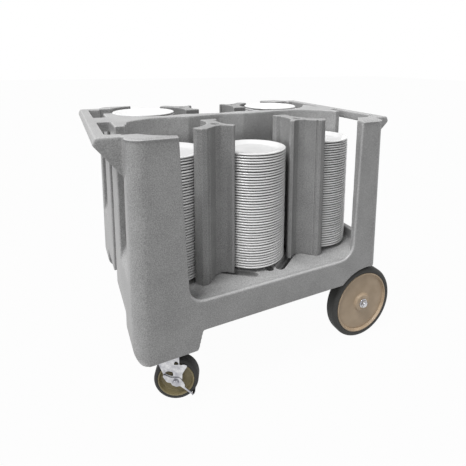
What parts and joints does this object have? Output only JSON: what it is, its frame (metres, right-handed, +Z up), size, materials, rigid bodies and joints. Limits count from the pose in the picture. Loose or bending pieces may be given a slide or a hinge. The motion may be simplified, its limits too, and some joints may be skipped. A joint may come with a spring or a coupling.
{
  "type": "plate dispenser cart",
  "caption": "Grey moulded plate dispenser cart with stacked white plates between sliding towers, big rear wheels, braked swivel casters and end handles",
  "frame": {"origin": "on the floor, under the middle of the overall box", "axes": "X along the cart from the caster end to the wheel end, Y across it, Z up"},
  "size_m": [0.974, 0.733, 0.78],
  "materials": {
    "grey_moulding": "matte, fine mottled grain",
    "grey_tower": "matte, fine mottled grain",
    "white_china": "glazed",
    "dark_tyre": "satin",
    "tan_wheel": "satin",
    "olive_wheel": "satin",
    "white_nylon": "satin",
    "black_knob": "satin",
    "steel_axle": "turned",
    "bright_zinc": "bright zinc plated"
  },
  "bodies": {
    "frame": {"deck": "grey_moulding", "near_side_skirt": "grey_moulding", "far_side_skirt": "grey_moulding", "caster_end_wall": "grey_moulding", "wheel_end_wall": "grey_moulding", "near_left_post": "grey_moulding", "far_left_post": "grey_moulding", "near_right_post": "grey_moulding", "far_right_post": "grey_moulding", "centre_spine": "grey_moulding", "caster_end_handle": "grey_moulding", "wheel_end_handle": "grey_moulding", "near_caster_foot": "grey_moulding", "far_caster_foot": "grey_moulding", "rear_axle": "steel_axle", "axle_brackets": "bright_zinc", "bracket_bolts": "bright_zinc", "axle_spacers": "bright_zinc", "axle_nuts": "bright_zinc", "caster_plates": "bright_zinc", "caster_races": "bright_zinc", "caster_kingpins": "bright_zinc", "caster_plate_bolts": "bright_zinc"},
    "near_rear_wheel": {"near_wheel_tyre": "dark_tyre", "near_wheel_core": "tan_wheel", "near_wheel_bush": "white_nylon"},
    "far_rear_wheel": {"far_wheel_tyre": "dark_tyre", "far_wheel_core": "tan_wheel", "far_wheel_bush": "white_nylon"},
    "near_caster": {"near_caster_fork": "bright_zinc", "near_caster_axle": "bright_zinc"},
    "near_caster_wheel": {"near_caster_tyre": "dark_tyre", "near_caster_core": "olive_wheel", "near_caster_bearing": "bright_zinc"},
    "near_brake": {"near_brake_pedal": "bright_zinc"},
    "far_caster": {"far_caster_fork": "bright_zinc", "far_caster_axle": "bright_zinc"},
    "far_caster_wheel": {"far_caster_tyre": "dark_tyre", "far_caster_core": "olive_wheel", "far_caster_bearing": "bright_zinc"},
    "far_brake": {"far_brake_pedal": "bright_zinc"},
    "near_left_divider": {"near_left_tower": "grey_tower", "near_left_tower_fixings": "bright_zinc"},
    "near_left_clamp": {"near_left_tower_knob": "black_knob"},
    "near_right_divider": {"near_right_tower": "grey_tower", "near_right_tower_fixings": "bright_zinc"},
    "near_right_clamp": {"near_right_tower_knob": "black_knob"},
    "far_left_divider": {"far_left_tower": "grey_tower", "far_left_tower_fixings": "bright_zinc"},
    "far_left_clamp": {"far_left_tower_knob": "black_knob"},
    "far_right_divider": {"far_right_tower": "grey_tower", "far_right_tower_fixings": "bright_zinc"},
    "far_right_clamp": {"far_right_tower_knob": "black_knob"},
    "near_left_stack": {"near_left_plates": "white_china"},
    "near_middle_stack": {"near_middle_plates": "white_china"},
    "near_right_stack": {"near_right_plates": "white_china"},
    "far_left_stack": {"far_left_plates": "white_china"},
    "far_right_stack": {"far_right_plates": "white_china"}
  },
  "joints": [
    {"name": "near_rear_wheel_spin", "type": "hinge", "parent": "frame", "child": "near_rear_wheel", "pos_m": [0.36, -0.328, 0.127], "axis": [0, 1, 0], "continuous": true},
    {"name": "far_rear_wheel_spin", "type": "hinge", "parent": "frame", "child": "far_rear_wheel", "pos_m": [0.36, 0.328, 0.127], "axis": [0, 1, 0], "continuous": true},
    {"name": "near_caster_swivel", "type": "hinge", "parent": "frame", "child": "near_caster", "pos_m": [-0.324, -0.288, 0.15], "axis": [0, 0, 1], "continuous": true},
    {"name": "near_caster_spin", "type": "hinge", "parent": "near_caster", "child": "near_caster_wheel", "pos_m": [-0.29385, -0.30142, 0.0635], "axis": [0.4067, 0.9135, 0], "continuous": true},
    {"name": "near_brake_press", "type": "hinge", "parent": "near_caster", "child": "near_brake", "pos_m": [-0.29385, -0.30142, 0.0635], "axis": [0.4067, 0.9135, 0], "range_deg": [-25, 0]},
    {"name": "far_caster_swivel", "type": "hinge", "parent": "frame", "child": "far_caster", "pos_m": [-0.324, 0.288, 0.15], "axis": [0, 0, 1], "continuous": true},
    {"name": "far_caster_spin", "type": "hinge", "parent": "far_caster", "child": "far_caster_wheel", "pos_m": [-0.29385, 0.27458, 0.0635], "axis": [0.4067, 0.9135, 0], "continuous": true},
    {"name": "far_brake_press", "type": "hinge", "parent": "far_caster", "child": "far_brake", "pos_m": [-0.29385, 0.27458, 0.0635], "axis": [0.4067, 0.9135, 0], "range_deg": [-25, 0]},
    {"name": "near_left_divider_slide", "type": "slide", "parent": "frame", "child": "near_left_divider", "axis": [0.7861, -0.6181, 0], "range_m": [-0.002, 0.001]},
    {"name": "near_left_clamp_turn", "type": "hinge", "parent": "near_left_divider", "child": "near_left_clamp", "pos_m": [-0.138, -0.213, 0.235], "axis": [0, 0, 1], "range_deg": [0, 360]},
    {"name": "near_right_divider_slide", "type": "slide", "parent": "frame", "child": "near_right_divider", "axis": [-0.7861, -0.6181, 0], "range_m": [0, 0.006]},
    {"name": "near_right_clamp_turn", "type": "hinge", "parent": "near_right_divider", "child": "near_right_clamp", "pos_m": [0.154, -0.213, 0.235], "axis": [0, 0, 1], "range_deg": [0, 360]},
    {"name": "far_left_divider_slide", "type": "slide", "parent": "frame", "child": "far_left_divider", "axis": [0.7861, 0.6181, 0], "range_m": [-0.013, 0.035]},
    {"name": "far_left_clamp_turn", "type": "hinge", "parent": "far_left_divider", "child": "far_left_clamp", "pos_m": [-0.10499, 0.23896, 0.235], "axis": [0, 0, 1], "range_deg": [0, 360]},
    {"name": "far_right_divider_slide", "type": "slide", "parent": "frame", "child": "far_right_divider", "axis": [-0.7861, 0.6181, 0], "range_m": [-0.009, 0.035]},
    {"name": "far_right_clamp_turn", "type": "hinge", "parent": "far_right_divider", "child": "far_right_clamp", "pos_m": [0.12099, 0.23896, 0.235], "axis": [0, 0, 1], "range_deg": [0, 360]},
    {"name": "near_left_stack_lift", "type": "slide", "parent": "frame", "child": "near_left_stack", "axis": [0, 0, 1], "range_m": [0, 0.5]},
    {"name": "near_middle_stack_lift", "type": "slide", "parent": "frame", "child": "near_middle_stack", "axis": [0, 0, 1], "range_m": [0, 0.5]},
    {"name": "near_right_stack_lift", "type": "slide", "parent": "frame", "child": "near_right_stack", "axis": [0, 0, 1], "range_m": [0, 0.5]},
    {"name": "far_left_stack_lift", "type": "slide", "parent": "frame", "child": "far_left_stack", "axis": [0, 0, 1], "range_m": [0, 0.5]},
    {"name": "far_right_stack_lift", "type": "slide", "parent": "frame", "child": "far_right_stack", "axis": [0, 0, 1], "range_m": [0, 0.5]}
  ]
}
